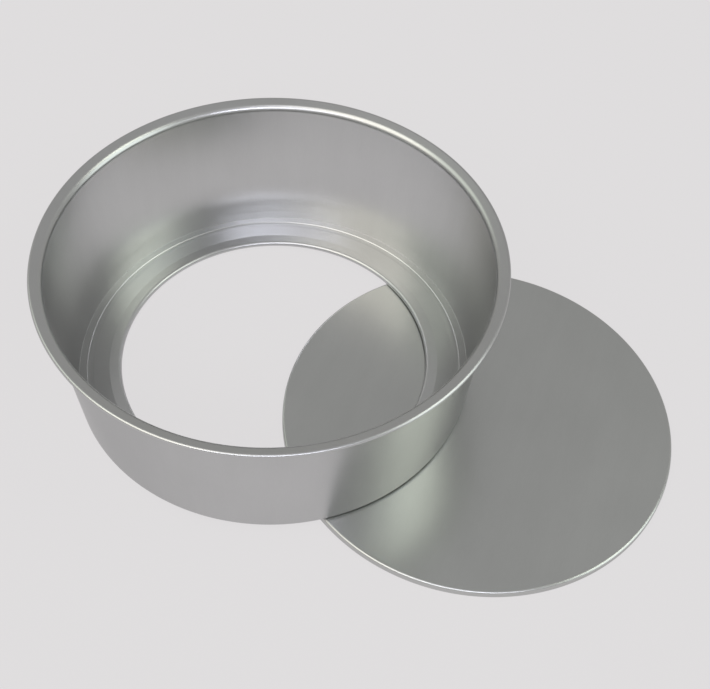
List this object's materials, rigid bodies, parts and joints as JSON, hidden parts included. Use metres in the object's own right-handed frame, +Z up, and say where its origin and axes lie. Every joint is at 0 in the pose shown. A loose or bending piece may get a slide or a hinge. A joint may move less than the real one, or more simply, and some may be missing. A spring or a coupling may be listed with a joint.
{
  "type": "round cake tin",
  "caption": "Round deep loose-base cake tin in satin aluminium: tapered ring with a folded-over rim and a formed ledge, lying on its loose base.",
  "frame": {"origin": "on the table, under the middle of the whole part's box", "axes": "+X from the ring to the loose base along the line of their centres, +Z up, the part is symmetric about the XZ plane"},
  "size_m": [0.305, 0.2142, 0.078],
  "materials": {
    "ring_aluminium": "satin anodised, drawn and spun",
    "base_aluminium": "satin anodised, fine rolled grain"
  },
  "bodies": {
    "base": {"loose_base": "base_aluminium"},
    "ring": {"tin_ring": "ring_aluminium"}
  },
  "joints": [
    {"name": "ring_lift", "type": "slide", "parent": "base", "child": "ring", "axis": [0, 0, 1], "range_m": [0, 0.1]}
  ]
}
